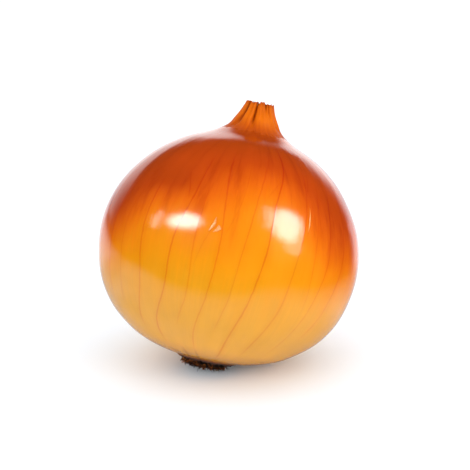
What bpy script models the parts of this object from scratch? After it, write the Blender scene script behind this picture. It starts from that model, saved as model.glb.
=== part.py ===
"""A yellow onion as it rests on a table: the skinned bulb with its dried neck, and the root plate under it.

Metres, +Z up. Each piece is turned about its own growing axis, which starts at the base of the bulb, and both
hang from one empty that tips that axis over until the belly and the root stubs share the table top at Z = 0.
The origin is on the table, below the middle of the onion's box.
"""

import math
import random

import bmesh
import bpy
from mathutils import Matrix, Vector

# The bulb's outline from the rim of the neck down to the base: (radius, height above the base).
RIM = (0.0048, 0.0806)
OUTLINE = [
    RIM,
    (0.0056, 0.0775),
    (0.0070, 0.0742),
    (0.0087, 0.0715),
    (0.0129, 0.0688),
    (0.0208, 0.0650),
    (0.0283, 0.0594),
    (0.0343, 0.0520),
    (0.0381, 0.0443),
    (0.0400, 0.0355),
    (0.0395, 0.0265),
    (0.0369, 0.0178),
    (0.0318, 0.0102),
    (0.0249, 0.0046),
    (0.0193, 0.0018),
    (0.0132, 0.0000),
    (0.0080, -0.0008),
]
BASE_DEPTH = 0.0010  # the pole of the base, below the axis's zero
CUT_END_DEPTH = 0.0022  # how far the dried heart of the neck sinks below its rim
CUT_END_SHARE = 0.55  # the width of that hollow's floor, as a share of the rim

ROUND_STEPS = 66
SPAN_STEPS = 3
SHARP_FROM = math.radians(50.0)

# The neck's folds and the small unevenness of the globe.
PLEATS = 11
PLEAT_DEPTH = 0.14  # share of the radius at the rim
PLEATS_FROM = 0.0695
NECK_DRIFT = 0.0007  # the neck's centre stands this far to the side
DRIFT_FROM = 0.0500
DRIFT_DONE = 0.0680
RIM_WAVE = 0.0007
LOBES = ((2, 0.006, 0.6), (3, 0.005, 2.1), (5, 0.002, 4.0))  # waves round, share of radius, phase

# How it rests: the axis leans this far from upright, towards this direction from +X.
LEAN = math.radians(20.0)
LEAN_TOWARDS = math.radians(54.0)
FLAT_DEPTH = 0.0004  # the belly is pressed flat by this much where it meets the table

# The root plate and the trimmed roots on it.
PLATE_RADIUS = 0.0072
PLATE_GAP = 0.0003
PLATE_THICKNESS = 0.0012
PLATE_STEPS = 36
STUB_RINGS = ((0.0, 1), (0.0022, 6), (0.0043, 11), (0.0062, 15))  # (radius of ring, roots in it)
STUB_RADIUS = 0.00062
STUB_LENGTH = 0.0026
STUB_SPLAY = math.radians(26.0)
STUB_SIDES = 7
SEED = 5

TABLE_CUTTER = (0.12, 0.12, 0.02)


def clear_scene():
    for obj in list(bpy.data.objects):
        bpy.data.objects.remove(obj)


def new_collection(name, helper=False):
    made = bpy.data.collections.new(name)
    bpy.context.scene.collection.children.link(made)
    made.hide_render = helper
    return made


def material(name, colour, roughness):
    made = bpy.data.materials.new(name)
    made.use_nodes = True
    surface = made.node_tree.nodes["Principled BSDF"]
    surface.inputs["Base Color"].default_value = (*colour, 1.0)
    surface.inputs["Roughness"].default_value = roughness
    surface.inputs["Metallic"].default_value = 0.0
    return made


def smoothstep(low, high, value):
    share = min(1.0, max(0.0, (value - low) / (high - low)))
    return share * share * (3.0 - 2.0 * share)


def smooth_line(points, steps):
    """A Catmull-Rom curve through the points."""
    ends = [points[0], *points, points[-1]]
    line = []
    for before, start, end, after in zip(ends, ends[1:], ends[2:], ends[3:]):
        for step in range(steps):
            t = step / steps
            line.append(
                0.5
                * (
                    2 * start
                    + (end - before) * t
                    + (2 * before - 5 * start + 4 * end - after) * t**2
                    + (3 * start - before - 3 * end + after) * t**3
                )
            )
    return [*line, points[-1]]


def turned(name, profile, steps):
    """A solid of revolution about Z. The profile is (radius, height) points down its outer side."""
    mesh = bpy.data.meshes.new(name)
    shape = bmesh.new()
    corners = [shape.verts.new((radius, 0.0, height)) for radius, height in profile]
    for upper, lower in zip(corners, corners[1:]):
        shape.edges.new((upper, lower))
    shape.to_mesh(mesh)
    shape.free()
    obj = bpy.data.objects.new(name, mesh)
    bpy.context.scene.collection.objects.link(obj)
    screw = obj.modifiers.new("turn", "SCREW")
    screw.steps = steps
    screw.render_steps = steps
    screw.use_merge_vertices = True
    screw.merge_threshold = 0.00001
    graph = bpy.context.evaluated_depsgraph_get()
    solid = bpy.data.meshes.new_from_object(obj.evaluated_get(graph))
    bpy.data.objects.remove(obj)
    solid.name = name
    return bpy.data.objects.new(name, solid)


def shade(obj):
    """Smooth, but for edges sharper than the limit."""
    obj.data.shade_smooth()
    obj.data.set_sharp_from_angle(angle=SHARP_FROM)


def grown(point):
    """Moves a point of the turned bulb to where it grew: uneven globe, pleated neck, wavy rim."""
    round_angle = math.atan2(point.y, point.x)
    globe = 1.0 + sum(share * math.sin(waves * round_angle + phase) for waves, share, phase in LOBES)
    gathered = smoothstep(PLEATS_FROM, RIM[1], point.z)
    pleat = 1.0 + PLEAT_DEPTH * gathered * math.cos(PLEATS * round_angle + 0.8 * math.sin(3 * round_angle))
    at_rim = smoothstep(OUTLINE[1][1], RIM[1], point.z)
    return Vector(
        (
            point.x * globe * pleat + NECK_DRIFT * smoothstep(DRIFT_FROM, DRIFT_DONE, point.z),
            point.y * globe * pleat,
            point.z + RIM_WAVE * at_rim * math.sin(2 * round_angle + 2.2),
        )
    )


def make_bulb():
    """The bulb in its papery skin, up to the cut end of its dried neck: one grown piece."""
    skin = [(at.x, at.y) for at in smooth_line([Vector(point) for point in OUTLINE], SPAN_STEPS)]
    heart = RIM[1] - CUT_END_DEPTH
    profile = [(0.0, heart), (RIM[0] * CUT_END_SHARE, heart), *skin, (0.0, -BASE_DEPTH)]
    bulb = turned("bulb", profile, ROUND_STEPS)
    for vertex in bulb.data.vertices:
        vertex.co = grown(vertex.co)
    shade(bulb)
    bulb.data.materials.append(material("onion_skin", (0.78, 0.30, 0.03), 0.25))
    return bulb


def make_stub(name, at, towards, length, radius):
    """One trimmed root: a tapered peg that starts inside the plate."""
    mesh = bpy.data.meshes.new(name)
    shape = bmesh.new()
    bmesh.ops.create_cone(
        shape,
        cap_ends=True,
        segments=STUB_SIDES,
        radius1=radius,
        radius2=0.7 * radius,
        depth=length,
        matrix=Matrix.Translation((0.0, 0.0, length / 2)),
    )
    shape.to_mesh(mesh)
    shape.free()
    stub = bpy.data.objects.new(name, mesh)
    shade(stub)
    stub.location = at
    stub.rotation_mode = "QUATERNION"
    stub.rotation_quaternion = towards.to_track_quat("Z", "Y")
    stub.hide_render = True
    stub.display_type = "WIRE"
    return stub


def make_roots(plate_middle, collection):
    """The pegs of the trimmed roots, in rings, the outer ones splayed out."""
    chance = random.Random(SEED)
    stubs = []
    for radius, count in STUB_RINGS:
        for place in range(count):
            angle = math.tau * (place + chance.uniform(-0.2, 0.2)) / count
            outwards = Vector((math.cos(angle), math.sin(angle), 0.0))
            splay = STUB_SPLAY * radius / STUB_RINGS[-1][0]
            towards = outwards * math.sin(splay) - Vector((0.0, 0.0, math.cos(splay)))
            stub = make_stub(
                f"root_{len(stubs):02d}",
                outwards * radius + Vector((0.0, 0.0, plate_middle)),
                towards,
                STUB_LENGTH * chance.uniform(0.75, 1.05),
                STUB_RADIUS * chance.uniform(0.8, 1.2),
            )
            collection.objects.link(stub)
            stubs.append(stub)
    return stubs


def make_root_plate(roots_collection):
    """The corky plate that the roots grew from, with the trimmed roots joined to it."""
    top = -BASE_DEPTH - PLATE_GAP
    bottom = top - PLATE_THICKNESS
    edge = PLATE_RADIUS
    profile = [
        (0.0, top),
        (0.9 * edge, top),
        (edge, top - 0.4 * PLATE_THICKNESS),
        (0.8 * edge, bottom),
        (0.0, bottom),
    ]
    plate = turned("root_plate", profile, PLATE_STEPS)
    shade(plate)
    plate.data.materials.append(material("dry_root", (0.12, 0.055, 0.03), 0.85))
    join = plate.modifiers.new("roots", "BOOLEAN")
    join.operation = "UNION"
    join.operand_type = "COLLECTION"
    join.collection = roots_collection
    return plate


def box_of(objects):
    """The lowest and highest corners of these objects as they stand."""
    graph = bpy.context.evaluated_depsgraph_get()
    corners = []
    for obj in objects:
        evaluated = obj.evaluated_get(graph)
        corners += [evaluated.matrix_world @ vertex.co for vertex in evaluated.to_mesh().vertices]
        evaluated.to_mesh_clear()
    low = Vector([min(corner[axis] for corner in corners) for axis in range(3)])
    high = Vector([max(corner[axis] for corner in corners) for axis in range(3)])
    return low, high


def make_table_cutter(collection):
    """A block whose top is the table, to press the belly and the lowest roots flat."""
    mesh = bpy.data.meshes.new("table_cutter")
    shape = bmesh.new()
    bmesh.ops.create_cube(shape, size=1.0, matrix=Matrix.Diagonal((*TABLE_CUTTER, 1.0)))
    shape.to_mesh(mesh)
    shape.free()
    cutter = bpy.data.objects.new("table_cutter", mesh)
    cutter.location.z = -TABLE_CUTTER[2] / 2
    cutter.hide_render = True
    cutter.display_type = "WIRE"
    collection.objects.link(cutter)
    return cutter


def main():
    clear_scene()
    onion = new_collection("onion")
    cutters = new_collection("cutters", helper=True)
    roots = new_collection("root_stubs", helper=True)

    axis = bpy.data.objects.new("growing_axis", None)
    onion.objects.link(axis)
    axis.rotation_mode = "QUATERNION"
    leaning = Vector(
        (
            math.sin(LEAN) * math.cos(LEAN_TOWARDS),
            math.sin(LEAN) * math.sin(LEAN_TOWARDS),
            math.cos(LEAN),
        )
    )
    axis.rotation_quaternion = Vector((0.0, 0.0, 1.0)).rotation_difference(leaning)

    bulb = make_bulb()
    plate = make_root_plate(roots)
    stubs = make_roots(-BASE_DEPTH - PLATE_GAP - PLATE_THICKNESS / 2, roots)
    for piece in (bulb, plate):
        onion.objects.link(piece)
    for piece in (bulb, plate, *stubs):
        piece.parent = axis
    bpy.context.view_layer.update()

    low, high = box_of([bulb])
    middle = (low + high) / 2
    axis.location = (-middle.x, -middle.y, -low.z - FLAT_DEPTH)
    cutter = make_table_cutter(cutters)
    for piece in (bulb, plate):
        pressed = piece.modifiers.new("pressed_flat", "BOOLEAN")
        pressed.operation = "DIFFERENCE"
        pressed.object = cutter


main()
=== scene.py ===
import math
import random

import bmesh
import bpy
from mathutils import Matrix, Vector, noise


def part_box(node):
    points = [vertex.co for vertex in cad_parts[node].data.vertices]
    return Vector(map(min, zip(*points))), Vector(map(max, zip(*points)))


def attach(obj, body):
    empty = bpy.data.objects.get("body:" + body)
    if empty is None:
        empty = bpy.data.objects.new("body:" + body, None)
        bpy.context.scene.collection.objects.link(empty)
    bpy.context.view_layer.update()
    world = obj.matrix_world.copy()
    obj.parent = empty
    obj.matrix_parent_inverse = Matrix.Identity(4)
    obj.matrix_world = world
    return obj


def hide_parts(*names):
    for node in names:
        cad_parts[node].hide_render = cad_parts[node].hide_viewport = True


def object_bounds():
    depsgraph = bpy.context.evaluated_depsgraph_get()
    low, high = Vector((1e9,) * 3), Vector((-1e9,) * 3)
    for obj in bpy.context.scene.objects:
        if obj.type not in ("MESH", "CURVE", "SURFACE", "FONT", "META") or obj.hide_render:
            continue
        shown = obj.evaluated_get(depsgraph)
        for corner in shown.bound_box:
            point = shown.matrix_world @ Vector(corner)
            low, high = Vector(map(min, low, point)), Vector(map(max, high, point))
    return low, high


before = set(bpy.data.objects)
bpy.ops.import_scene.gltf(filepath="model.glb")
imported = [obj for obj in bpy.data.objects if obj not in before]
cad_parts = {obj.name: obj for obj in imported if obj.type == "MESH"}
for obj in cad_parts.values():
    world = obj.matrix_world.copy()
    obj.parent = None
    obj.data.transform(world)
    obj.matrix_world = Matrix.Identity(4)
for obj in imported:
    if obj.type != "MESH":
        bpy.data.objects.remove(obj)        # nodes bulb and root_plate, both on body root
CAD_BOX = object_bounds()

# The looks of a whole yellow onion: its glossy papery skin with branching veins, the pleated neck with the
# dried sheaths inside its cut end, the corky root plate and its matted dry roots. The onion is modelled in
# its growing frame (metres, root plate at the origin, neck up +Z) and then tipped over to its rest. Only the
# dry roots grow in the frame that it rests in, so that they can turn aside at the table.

ROOT_BODY = "root"

# ---- How the onion rests, and where it is seen from -------------------------------------------------

LEAN = math.radians(20.0)
LEAN_TOWARDS = math.radians(54.0)
FLAT_DEPTH = 0.0004
GROWS = Vector(
    (math.sin(LEAN) * math.cos(LEAN_TOWARDS), math.sin(LEAN) * math.sin(LEAN_TOWARDS), math.cos(LEAN))
)
TILT = Vector((0.0, 0.0, 1.0)).rotation_difference(GROWS).to_matrix().to_4x4()

VIEW_DOWN = math.radians(16.4)
VIEW_DISTANCE = 0.65
VIEW_WIDTH = 0.1446  # what the frame spans at the onion
VIEW_ASIDE = 0.0019
LOOKS = Vector((0.0, math.cos(VIEW_DOWN), -math.sin(VIEW_DOWN)))
SENSOR = 36.0

# ---- The bulb's outline: (radius, height) from the rim of the neck down to the root plate ----------

RIM = (0.0044, 0.0797)
OUTLINE = [
    RIM,
    (0.0054, 0.0770),
    (0.0069, 0.0742),
    (0.0086, 0.0715),
    (0.0128, 0.0688),
    (0.0208, 0.0650),
    (0.0283, 0.0594),
    (0.0343, 0.0520),
    (0.0381, 0.0443),
    (0.0400, 0.0355),
    (0.0395, 0.0265),
    (0.0369, 0.0178),
    (0.0318, 0.0102),
    (0.0249, 0.0046),
    (0.0193, 0.0018),
    (0.0132, 0.0000),
    (0.0080, -0.0008),
]
HOLLOW = [(0.0000, 0.0757), (0.0024, 0.0757), (0.0037, 0.0762), (0.0038, 0.0780), (0.0041, 0.0796)]
BASE_DEPTH = 0.0010
ROUND_STEPS = 360
SPAN_STEPS = 11

LOBES = ((2, 0.006, 0.6), (3, 0.005, 2.1), (5, 0.002, 4.0))  # waves round, share of radius, phase
NECK_DRIFT = 0.0004
DRIFT = (0.0500, 0.0680)
DENT = 0.00014  # broad unevenness of the globe
DENT_SIZE = 0.017
PANEL_FLAT = 0.000035  # the skin is this much flatter between two veins than on them
DENTS_FROM = (0.0, 0.010)  # radius over which the unevenness sets in round the base
PANELS_FROM = (0.001, 0.008)  # height over which the flatter panels set in
GLOBE_ENDS = (0.0640, 0.0700)  # height over which both fade into the neck
TABLE_GAP = 0.00003  # nothing reaches lower than this

# The neck's folds: (longitude, depth as a share of the radius, half-width, lowest height). Longitudes are in
# degrees round from the front, positive to the right.
NECK_FOLDS = [
    (-100, 0.16, 9, 0.0705),
    (-72, 0.10, 6, 0.0720),
    (-51, 0.26, 8, 0.0698),
    (-27, 0.07, 4, 0.0735),
    (-10, 0.22, 6, 0.0699),
    (10, 0.06, 4, 0.0730),
    (28, 0.24, 5, 0.0750),
    (41, 0.18, 4, 0.0735),
    (66, 0.15, 8, 0.0705),
    (92, 0.12, 6, 0.0715),
    (118, 0.20, 8, 0.0700),
    (147, 0.13, 6, 0.0722),
    (171, 0.19, 9, 0.0702),
    (198, 0.11, 5, 0.0730),
    (223, 0.18, 8, 0.0708),
    (244, 0.12, 6, 0.0718),
]

DEEPEST_FOLD = 0.26
FOLD_RISE = 0.005  # a fold reaches its depth this far above its lowest height
CRIMP = 0.010  # fine pleats between the folds: share of the radius
CRIMPS_FROM = 0.0690
CRIMPS_ROUND = 23
CRIMPS_CROWD = (2.0, 4)  # how unevenly the crimps are spread, and in how many bunches
TEAR_FROM = 0.0778
TEARS = (  # height, waves round, where the noise is read
    (0.00045, 2.1, Vector((3.0, 0.0, 0.0))),
    (0.00060, 7.0, Vector((0.0, 5.0, 0.0))),
)
DRY_NECK_FROM = 0.0702  # above this the skin has dried out and lost its gloss
DRY_EDGE = (0.0007, 0.0011)  # how ragged that line is, and the size of its tatters

# The dried leaf sheaths inside the cut end: radius, lowest and highest point, how crumpled.
NECK_SHEATHS = {
    "neck_sheath_outer": (0.0029, 0.0750, 0.0792, 0.16),
    "neck_sheath_middle": (0.0020, 0.0750, 0.0786, 0.22),
    "neck_sheath_inner": (0.0011, 0.0750, 0.0790, 0.28),
}
SHEATH_THICKNESS = 0.00014
SHEATH_ROWS, SHEATH_SIDES = 9, 120
SHEATH_FLARE = 0.12
SHEATH_TEARS = (0.0009, 0.0006)  # broad and fine

# ---- The base: torn hem of the skin, root disc and dry roots (metres, growing frame) ----------------

HEM_LINE = [(0.0100, -0.0003), (0.0092, -0.0008), (0.0084, -0.0011), (0.0077, -0.0014), (0.0073, -0.0018)]
HEM_THICKNESS = 0.00012
HEM_ROWS, HEM_SIDES = 12, 216
HEM_REACH = 0.80  # how much of the line above is left where the hem is neither long nor torn away
HEM_TEARS = (0.42, 0.34)  # broad and fine
HEM_FLARE = 0.0006
HEM_LUMPS = 0.00035
DISC_LINE = [
    (0.0000, -0.0011),
    (0.0060, -0.0011),
    (0.0066, -0.0015),
    (0.0063, -0.0021),
    (0.0050, -0.0025),
    (0.0000, -0.0028),
]
DISC_SIDES = 96
DISC_BUMPS = ((0.0011, 0.00022), (0.0004, 0.00009))  # size and height
DISC_UNDERSIDE = -0.0013  # the bumps are full below this, and slight above it
ROOT_COUNT = 420
ROOT_SPREAD = 0.0067
ROOT_MIDDLE = (-0.0006, 0.0)
ROOT_TOPS = (-0.0021, -0.0011)  # in the middle of the disc, and at its edge
ROOT_LENGTHS = (0.0009, 0.0020)
ROOT_RADII = (0.00010, 0.00026)
ROOT_SIDES = 6
ROOT_CLEARANCE = 0.0004  # a root's course turns level this high above the table
LONG_HAIRS = 4
HAIR_LENGTHS = (0.003, 0.006)
HAIR_RADIUS = 0.00009
HAIRS_FROM = 0.55  # share of the disc's area inside which no hair grows
ROOT_STEPS = {"root": 6, "hair": 8}
ROOT_SPLAY = 0.9  # at the disc's edge
ROOT_TANGLE = {"out": 0.5, "around": 1.2}
ROOT_BENDS = (0.8, 2.4)
ROOT_TIPS = (0.35, 0.7)  # share of the radius left at the tip

FLECK_LEAN = 2.0  # degrees that a fleck turns from its lower to its upper end
FLECK_GAP = 0.00005
# Little lifted flecks of skin: (longitude, height, length, width, lift).
FLECKS = [
    (-9.0, 0.0402, 0.0046, 0.0010, 0.00030),
    (-7.2, 0.0391, 0.0024, 0.0016, 0.00012),
    (36.0, 0.0470, 0.0075, 0.0004, 0.00016),
    (150.0, 0.0460, 0.0060, 0.0014, 0.00030),
    (-128.0, 0.0330, 0.0045, 0.0011, 0.00030),
]

# ---- The veins: longitude at each of these heights, then where it starts and ends, and how strong --

STATIONS = (0.0062, 0.0185, 0.0345, 0.0492, 0.0615)
MAIN_VEINS = [
    (-80, -76, -73, -71, -70, 0.020, 0.045, 0.5),
    (-66, -62, -60, -60, -59, 0.015, 0.050, 0.6),
    (-57, -52, -51, -50, -50, 0.013, 0.040, 0.5),
    (-45, -39, -40, -40, -40, 0.007, 0.050, 0.8),
    (-34, -26, -24, -20, -20, 0.004, 0.060, 1.0),
    (-21, -15, -15, -15, -16, 0.010, 0.051, 0.6),
    (-11, -6, -4, -6, -9, 0.003, 0.062, 0.8),
    (0, 4, 6, 9, 13, 0.010, 0.061, 0.6),
    (9, 13, 16, 18, 24, 0.001, 0.067, 1.1),
    (25, 29, 31, 35, 38, 0.004, 0.060, 0.7),
    (37, 41, 40, 42, 47, 0.021, 0.057, 0.5),
    (41, 44, 48, 50, 56, 0.006, 0.058, 0.8),
    (50, 54, 58, 61, 66, 0.012, 0.056, 0.6),
]
BRANCH_VEINS = [
    (-70, -66, -60, -56, -50, 0.038, 0.056, 0.4),
    (-52, -50, -47, -41, -52, 0.0395, 0.044, 0.5),
    (-26, -21, -19, -24, -34, 0.0465, 0.055, 0.7),
    (-20, -16, -11, -3, -3, 0.027, 0.039, 0.6),
    (-12, -7, -4, 2, 3, 0.038, 0.058, 0.6),
    (0, 2, 4, 6, 14, 0.0585, 0.065, 0.6),
    (6, 8, 10, 12, 26, 0.0505, 0.057, 0.5),
    (20, 24, 28, 33, 42, 0.053, 0.062, 0.5),
    (34, 36, 38, 41, 55, 0.0485, 0.054, 0.4),
    (60, 64, 66, 66, 62, 0.040, 0.056, 0.5),
]
VEIN_BEGINS = (-0.002, 0.003)  # about its start
VEIN_STOPS = (-0.004, 0.002)  # about its end
# Broad patches where the skin is redder (+) or yellower (-) than its height says: longitude, height,
# half-width in degrees, half-height, and the shift as a share of the way up the onion. On the near side
# (-64 to 58 degrees) they are painted shade and painted light: redder and darker on the flanks that turn
# from the lamps, yellower in front where the lamps fall. Round the far side they are the skin's own uneven
# colour.
TONES_AND_SHADE = [
    (-64, 0.0405, 18, 0.0180, 0.21),
    (-35, 0.0365, 9, 0.0050, -0.06),
    (-34, 0.0510, 14, 0.0050, 0.10),
    (15, 0.0478, 20, 0.0130, -0.13),
    (26, 0.0365, 10, 0.0060, -0.06),
    (58, 0.0445, 19, 0.0170, 0.100),
    (105, 0.0400, 22, 0.0120, -0.08),
    (140, 0.0500, 18, 0.0140, 0.10),
    (176, 0.0420, 24, 0.0130, -0.09),
    (214, 0.0460, 20, 0.0160, 0.12),
    (252, 0.0480, 20, 0.0120, -0.06),
]
# The redder patches are darkened as well as reddened: on the near flanks this is painted shade.
PAINTED_SHADE_OF_REDDER = 0.7  # how much darker the redder patches are
# The far side's veins: how far each has turned at each height, and the spread of what chance decides.
VEIN_LEAN = (0, 5, 9, 11, 15)
FAR_SIDE = (64, 272)  # where the veins above leave off and begin again
FAR_SPACING = {"veins": 11.0, "branches": 17.0}
FAR_TURN = -7  # turns their lower ends, so that at mid height they fill the far side
FAR_UNEVEN = 0.18  # share of the spacing
FAR_WANDER = 1.5
FAR_STARTS = (0.001, 0.016)
FAR_ENDS = (0.045, 0.066)
FAR_STRENGTHS = (0.5, 1.1)
BRANCH_LENGTH = 0.014
BRANCH_STRENGTH = 0.6
SEED = 11


def smoothstep(low, high, value):
    share = min(1.0, max(0.0, (value - low) / (high - low)))
    return share * share * (3.0 - 2.0 * share)


def curve_between(before, start, end, after, share):
    """The place this share of the way from start to end, on a Catmull-Rom curve through all four."""
    return 0.5 * (
        2 * start
        + (end - before) * share
        + (2 * before - 5 * start + 4 * end - after) * share**2
        + (3 * start - before - 3 * end + after) * share**3
    )


def smooth_line(points, steps):
    """A smooth curve through the points, with this many steps from one to the next."""
    ends = [points[0], *points, points[-1]]
    line = []
    for span in zip(ends, ends[1:], ends[2:], ends[3:]):
        line += [curve_between(*span, step / steps) for step in range(steps)]
    return [*line, points[-1]]


def profile_through(points, steps):
    return [(at.x, at.y) for at in smooth_line([Vector(point) for point in points], steps)]


def front_longitude():
    """The angle, round the onion's own axis, of the side that faces the camera."""
    facing = TILT.inverted() @ -LOOKS
    return math.atan2(facing.y, facing.x)


FRONT = front_longitude()
GLOBE_LINE = profile_through(OUTLINE, SPAN_STEPS)


def longitude_of(point):
    """Degrees round from the front, from -180 to 180, positive to the right."""
    turned = math.degrees(math.atan2(point.y, point.x) - FRONT)
    return (turned + 180.0) % 360.0 - 180.0


def apart(a, b):
    """The angle between two longitudes, in degrees."""
    return abs((a - b + 180.0) % 360.0 - 180.0)


# ---- Vein courses ------------------------------------------------------------------------------------


def far_side_veins(spacing, chance):
    """Veins for the side that the lists above leave out, with the same lean and about the same spacing."""
    start, end = FAR_SIDE
    count = round((end - start) / spacing)
    found = []
    for place in range(1, count):
        uneven = chance.uniform(-FAR_UNEVEN, FAR_UNEVEN)
        base = start + FAR_TURN + (end - start) * (place + uneven) / count
        bends = [chance.uniform(-FAR_WANDER, FAR_WANDER) for _ in STATIONS]
        course = [base + lean + bend for lean, bend in zip(VEIN_LEAN, bends)]
        found.append((*course, *[chance.uniform(*ends) for ends in (FAR_STARTS, FAR_ENDS, FAR_STRENGTHS)]))
    return found


def cut_to_branch(vein):
    """A short piece of a vein, from its middle up."""
    *course, start, end, _ = vein
    middle = 0.5 * (start + end)
    return (*course, middle, min(end, middle + BRANCH_LENGTH), BRANCH_STRENGTH)


def vein_set(name, front_side):
    """All veins of one kind round the onion, in order, from longitude -85 up to 275."""
    far = far_side_veins(FAR_SPACING[name], random.Random(SEED + len(name)))
    if name == "branches":
        far = [cut_to_branch(vein) for vein in far]
    return sorted([*front_side, *far], key=lambda vein: vein[2])


class VeinCourses:
    """Where each vein of a set runs.

    across() counts veins round the onion, so that its whole numbers lie on veins.
    """

    def __init__(self, veins):
        self.veins = veins
        self.rows = {}

    def row(self, height):
        if height not in self.rows:
            self.rows[height] = [self.longitude(vein, height) for vein in self.veins]
        return self.rows[height]

    def longitude(self, vein, height):
        low = min(max(height, STATIONS[0]), STATIONS[-1])
        for place in range(len(STATIONS) - 1):
            if low <= STATIONS[place + 1]:
                share = (low - STATIONS[place]) / (STATIONS[place + 1] - STATIONS[place])
                before = vein[max(place - 1, 0)]
                after = vein[min(place + 2, len(STATIONS) - 1)]
                return curve_between(before, vein[place], vein[place + 1], after, share)

    def across(self, longitude, height):
        row = self.row(round(height, 5))
        turned = (longitude - row[0]) % 360.0 + row[0]
        for place, start in enumerate(row):
            end = row[place + 1] if place + 1 < len(row) else row[0] + 360.0
            if turned < end:
                return place + (turned - start) / max(end - start, 0.01)
        return float(len(row))

    def strength(self, across, height):
        *_, start, end, full = self.veins[round(across) % len(self.veins)]
        begun = smoothstep(start + VEIN_BEGINS[0], start + VEIN_BEGINS[1], height)
        ended = smoothstep(end + VEIN_STOPS[0], end + VEIN_STOPS[1], height)
        return full * begun * (1.0 - ended)


VEINS = VeinCourses(vein_set("veins", MAIN_VEINS))
BRANCHES = VeinCourses(vein_set("branches", BRANCH_VEINS))


# ---- Meshes ------------------------------------------------------------------------------------------


def spun(profile, steps):
    """A bmesh turned all the way round Z from (radius, height) points. Its poles and seam are closed."""
    shape = bmesh.new()
    corners = [shape.verts.new((radius, 0.0, height)) for radius, height in profile]
    edges = [shape.edges.new(pair) for pair in zip(corners, corners[1:])]
    bmesh.ops.spin(
        shape,
        geom=[*corners, *edges],
        cent=(0.0, 0.0, 0.0),
        axis=(0.0, 0.0, 1.0),
        angle=math.tau,
        steps=steps,
        use_merge=True,
    )
    bmesh.ops.remove_doubles(shape, verts=shape.verts, dist=1e-7)
    bmesh.ops.recalc_face_normals(shape, faces=shape.faces)
    return shape


def finish_piece(shape, name, material, node=None, sharp=60.0):
    """Makes the bmesh an object at the origin, smooth but for sharp edges, riding on the onion."""
    mesh = bpy.data.meshes.new(name)
    shape.to_mesh(mesh)
    shape.free()
    mesh.shade_smooth()
    mesh.set_sharp_from_angle(angle=math.radians(sharp))
    mesh.materials.append(material)
    piece = bpy.data.objects.new(name, mesh)
    bpy.context.scene.collection.objects.link(piece)
    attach(piece, ROOT_BODY)
    if node:
        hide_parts(node)
    return piece


def neck_fold(longitude, height):
    """How far the skin is drawn in at the neck, as a share of its radius."""
    folds = 0.0
    for at, depth, width, low in NECK_FOLDS:
        gap = apart(longitude, at) / width
        if gap < 3.0:
            folds += depth * math.exp(-gap * gap) * smoothstep(low, low + FOLD_RISE, height)
    crowd, bunches = CRIMPS_CROWD
    turn = math.radians(CRIMPS_ROUND * longitude) + crowd * math.sin(math.radians(longitude * bunches))
    return folds + CRIMP * smoothstep(CRIMPS_FROM, RIM[1], height) * math.cos(turn)


def rim_wave(longitude, height):
    """The torn edge of the neck: how far it stands up or dips."""
    around = Vector((math.cos(math.radians(longitude)), math.sin(math.radians(longitude)), 0.0))
    torn = sum(tall * noise.noise(around * waves + place) for tall, waves, place in TEARS)
    return torn * smoothstep(TEAR_FROM, RIM[1], height)


def grown(point):
    """Where a point of the turned skin grew: uneven globe, flatter panels between veins, folded neck."""
    angle = math.atan2(point.y, point.x)
    longitude = longitude_of(point)
    height = point.z
    globe = 1.0 + sum(share * math.sin(waves * angle + phase) for waves, share, phase in LOBES)
    globe_only = 1.0 - smoothstep(*GLOBE_ENDS, height)
    dent = DENT * noise.noise(point / DENT_SIZE) * globe_only
    across = VEINS.across(longitude, height) % 1.0
    panel = -4.0 * PANEL_FLAT * across * (1.0 - across) * globe_only * smoothstep(*PANELS_FROM, height)
    scale = globe * (1.0 - neck_fold(longitude, height))
    radius = math.hypot(point.x, point.y)
    out = radius * scale + (dent + panel) * smoothstep(*DENTS_FROM, radius)
    drift = NECK_DRIFT * smoothstep(*DRIFT, height)
    up = height + rim_wave(longitude, height)
    return Vector((out * math.cos(angle) + drift, out * math.sin(angle), up))


def press_flat(shape):
    """Presses what would reach below the table onto it."""
    for vertex in shape.verts:
        vertex.co.z = max(vertex.co.z, TABLE_GAP)


def settle(shape, stance):
    """Tips a shape over to its rest on the table."""
    bmesh.ops.transform(shape, matrix=stance, verts=shape.verts)
    press_flat(shape)


def find_stance(shape):
    """The move from the growing frame to the rest: the bulb's box in the frame says where."""
    low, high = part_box("bulb")
    tilted = [TILT @ vertex.co for vertex in shape.verts]
    shift = Vector((0.0, 0.0, low.z - FLAT_DEPTH - min(point.z for point in tilted)))
    for axis in (0, 1):
        ends = [point[axis] for point in tilted]
        shift[axis] = (low[axis] + high[axis] - min(ends) - max(ends)) / 2
    return Matrix.Translation(shift) @ TILT


def tone_and_shade(longitude, height):
    """How much redder or yellower the skin is here than its height says: on the near side partly painted
    shade and painted light.
    """
    shift = 0.0
    for at, level, width, reach, amount in TONES_AND_SHADE:
        gap = apart(longitude, at) / width
        rise = (height - level) / reach
        shift += amount * math.exp(-gap * gap - rise * rise)
    return shift


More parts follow.
